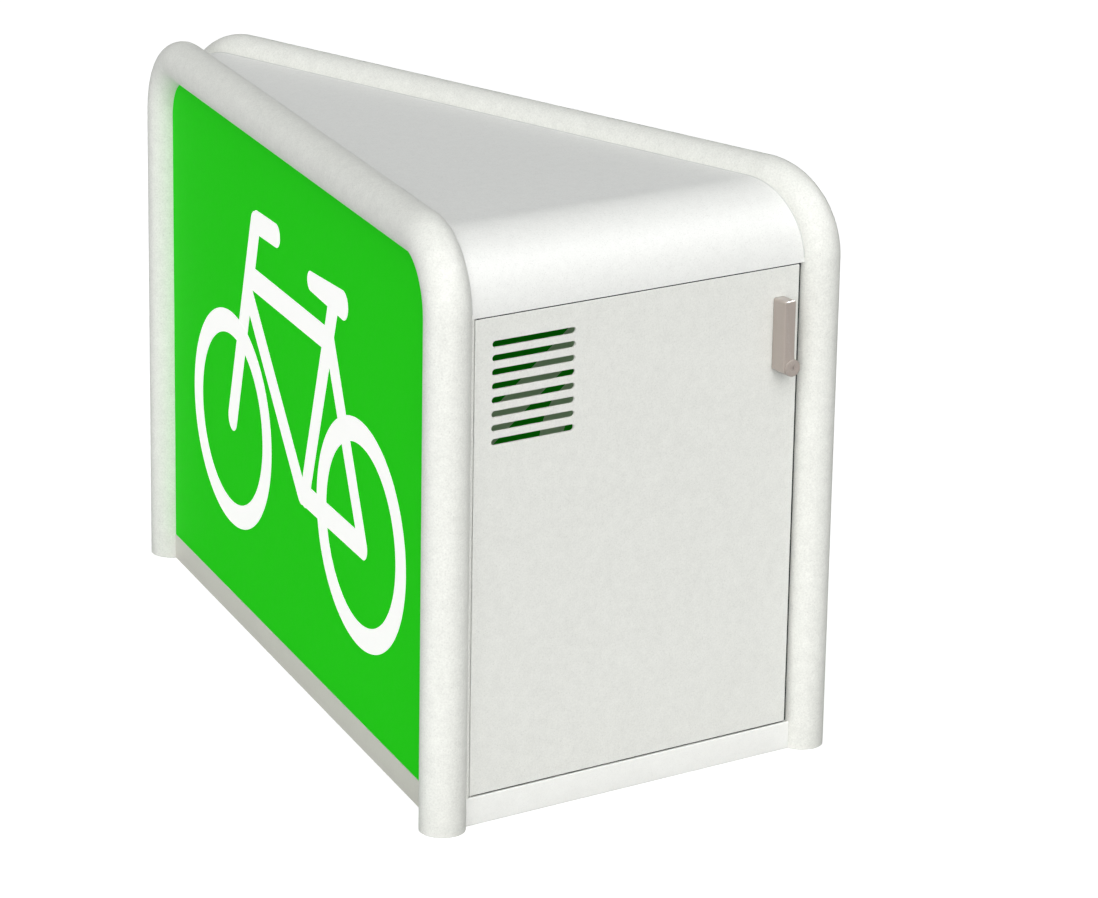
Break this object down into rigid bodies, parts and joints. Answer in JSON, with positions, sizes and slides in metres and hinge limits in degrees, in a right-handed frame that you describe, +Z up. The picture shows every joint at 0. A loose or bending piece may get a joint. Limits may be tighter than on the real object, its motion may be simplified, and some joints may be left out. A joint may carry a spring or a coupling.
{
  "type": "bicycle locker",
  "caption": "Wedge-shaped steel bicycle locker: bent tube hoops, green side sheets with a bicycle sign, bent roof, vented hinged door with a turning lock handle and rods.",
  "frame": {"origin": "centre of the footprint at ground level", "axes": "+Z up, -Y out of the door, +X to the right for someone who faces the door"},
  "size_m": [1.0676, 2, 1.335],
  "materials": {
    "tube_paint": "off-white powder coat with a fine speckle",
    "roof_paint": "light grey powder coat with a fine speckle",
    "door_paint": "off-white grey powder coat with a fine speckle",
    "green_sheet": "bright green coated sheet, satin",
    "rail_paint": "warm light grey powder coat",
    "threshold_paint": "white powder coat",
    "zinc": "zinc-plated steel",
    "handle_paint": "taupe satin coat on a casting",
    "steel": "bright steel",
    "nylon": "natural nylon",
    "rubber": "matt black rubber",
    "black_plastic": "matt black plastic"
  },
  "bodies": {
    "frame": {"left_hoop": "tube_paint", "right_hoop": "tube_paint", "front_left_foot_plug": "black_plastic", "front_right_foot_plug": "black_plastic", "rear_left_foot_plug": "black_plastic", "rear_right_foot_plug": "black_plastic", "left_side_panel": "green_sheet", "right_side_panel": "green_sheet", "left_panel_flange": "tube_paint", "right_panel_flange": "tube_paint", "left_base_rail": "rail_paint", "right_base_rail": "rail_paint", "front_threshold": "threshold_paint", "rear_spine_strip": "tube_paint", "roof_skin": "roof_paint", "left_roof_angle": "tube_paint", "right_roof_angle": "tube_paint", "front_roof_bow": "tube_paint", "middle_roof_bow": "tube_paint", "rear_roof_bow": "tube_paint", "door_header": "tube_paint", "left_door_jamb": "tube_paint", "right_door_jamb": "tube_paint", "door_seal": "rubber", "lower_pivot_bush": "nylon", "upper_pivot_bush": "nylon", "upper_keeper": "zinc", "lower_keeper": "zinc", "wheel_channel": "zinc", "front_floor_tie": "zinc", "rear_floor_tie": "zinc", "front_channel_bolt": "steel", "rear_channel_bolt": "steel", "front_left_anchor_bracket": "zinc", "front_right_anchor_bracket": "zinc", "rear_left_anchor_bracket": "zinc", "rear_right_anchor_bracket": "zinc"},
    "door": {"door_skin": "door_paint", "upper_door_stiffener": "door_paint", "lower_door_stiffener": "door_paint", "upper_pivot_block": "zinc", "lower_pivot_block": "zinc", "upper_pivot_pin": "steel", "lower_pivot_pin": "steel", "lock_plate": "zinc", "upper_rod_inner_guide": "nylon", "upper_rod_outer_guide": "nylon", "lower_rod_inner_guide": "nylon", "lower_rod_middle_guide": "nylon", "lower_rod_outer_guide": "nylon"},
    "handle": {"lock_handle": "handle_paint", "handle_spindle": "steel", "lock_cam": "steel", "cam_nut": "steel"},
    "key_plug": {"lock_plug": "steel"},
    "upper_rod": {"upper_locking_rod": "zinc"},
    "lower_rod": {"lower_locking_rod": "zinc"}
  },
  "joints": [
    {"name": "door_hinge", "type": "hinge", "parent": "frame", "child": "door", "pos_m": [-0.406, -0.937, 0.6], "axis": [0, 0, -1], "range_deg": [0, 105]},
    {"name": "handle_turn", "type": "hinge", "parent": "door", "child": "handle", "pos_m": [0.377, -0.977, 0.912], "axis": [0, -1, 0], "range_deg": [0, 90]},
    {"name": "key_turn", "type": "hinge", "parent": "handle", "child": "key_plug", "pos_m": [0.377, -0.985, 0.912], "axis": [0, -1, 0], "range_deg": [0, 90]},
    {"name": "upper_rod_slide", "type": "slide", "parent": "door", "child": "upper_rod", "axis": [0, 0, 1], "range_m": [0, 0.034]},
    {"name": "lower_rod_slide", "type": "slide", "parent": "door", "child": "lower_rod", "axis": [0, 0, -1], "range_m": [0, 0.034]}
  ],
  "couplings": [
    {"joint": "upper_rod_slide", "follows": "handle_turn", "m_per_rad": 0.021607},
    {"joint": "lower_rod_slide", "follows": "handle_turn", "m_per_rad": 0.021607}
  ]
}
